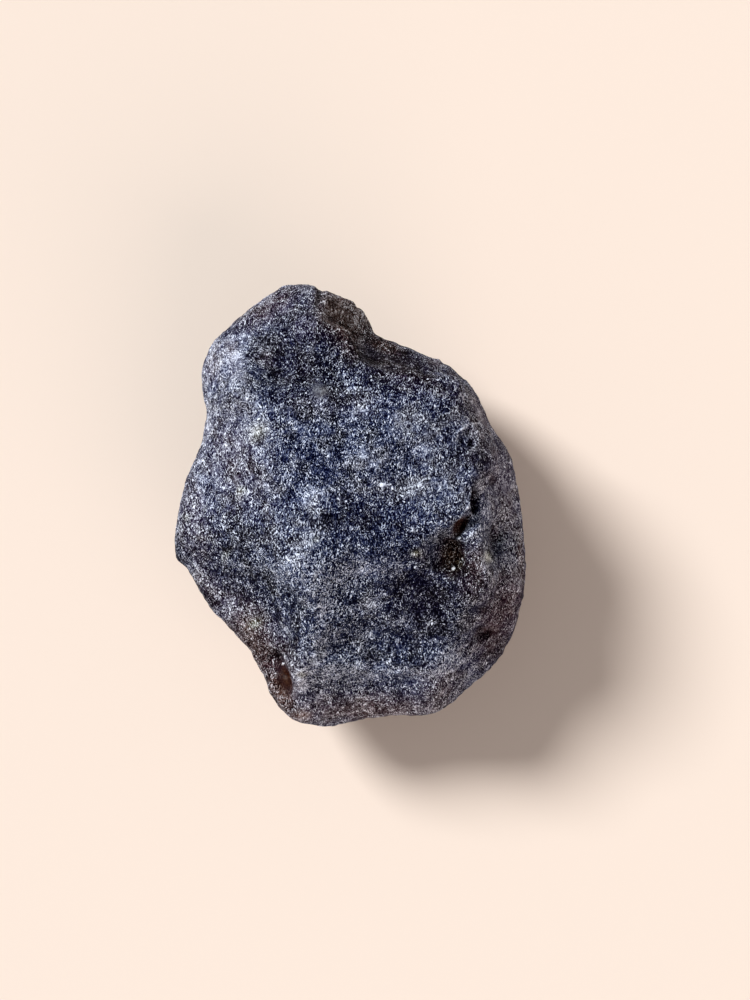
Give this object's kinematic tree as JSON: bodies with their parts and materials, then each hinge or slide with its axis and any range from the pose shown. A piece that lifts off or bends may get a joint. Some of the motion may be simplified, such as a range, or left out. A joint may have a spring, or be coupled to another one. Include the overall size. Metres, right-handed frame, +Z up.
{
  "type": "agni manitite stone",
  "caption": "Dark natural glass nodule with a knob at one end, hollows, open pits and a flat spot it rests on.",
  "frame": {"origin": "middle of the stone's outline seen from above, on the surface that it rests on", "axes": "+Z up from the resting spot, +Y along the stone's length towards the knob, +X towards the steep right flank"},
  "size_m": [0.0306, 0.0384, 0.021],
  "materials": {
    "glassy_stone": "matt frosted glass skin, blue-black with grey-white specks"
  },
  "bodies": {
    "root": {"stone": "glassy_stone"}
  },
  "joints": []
}
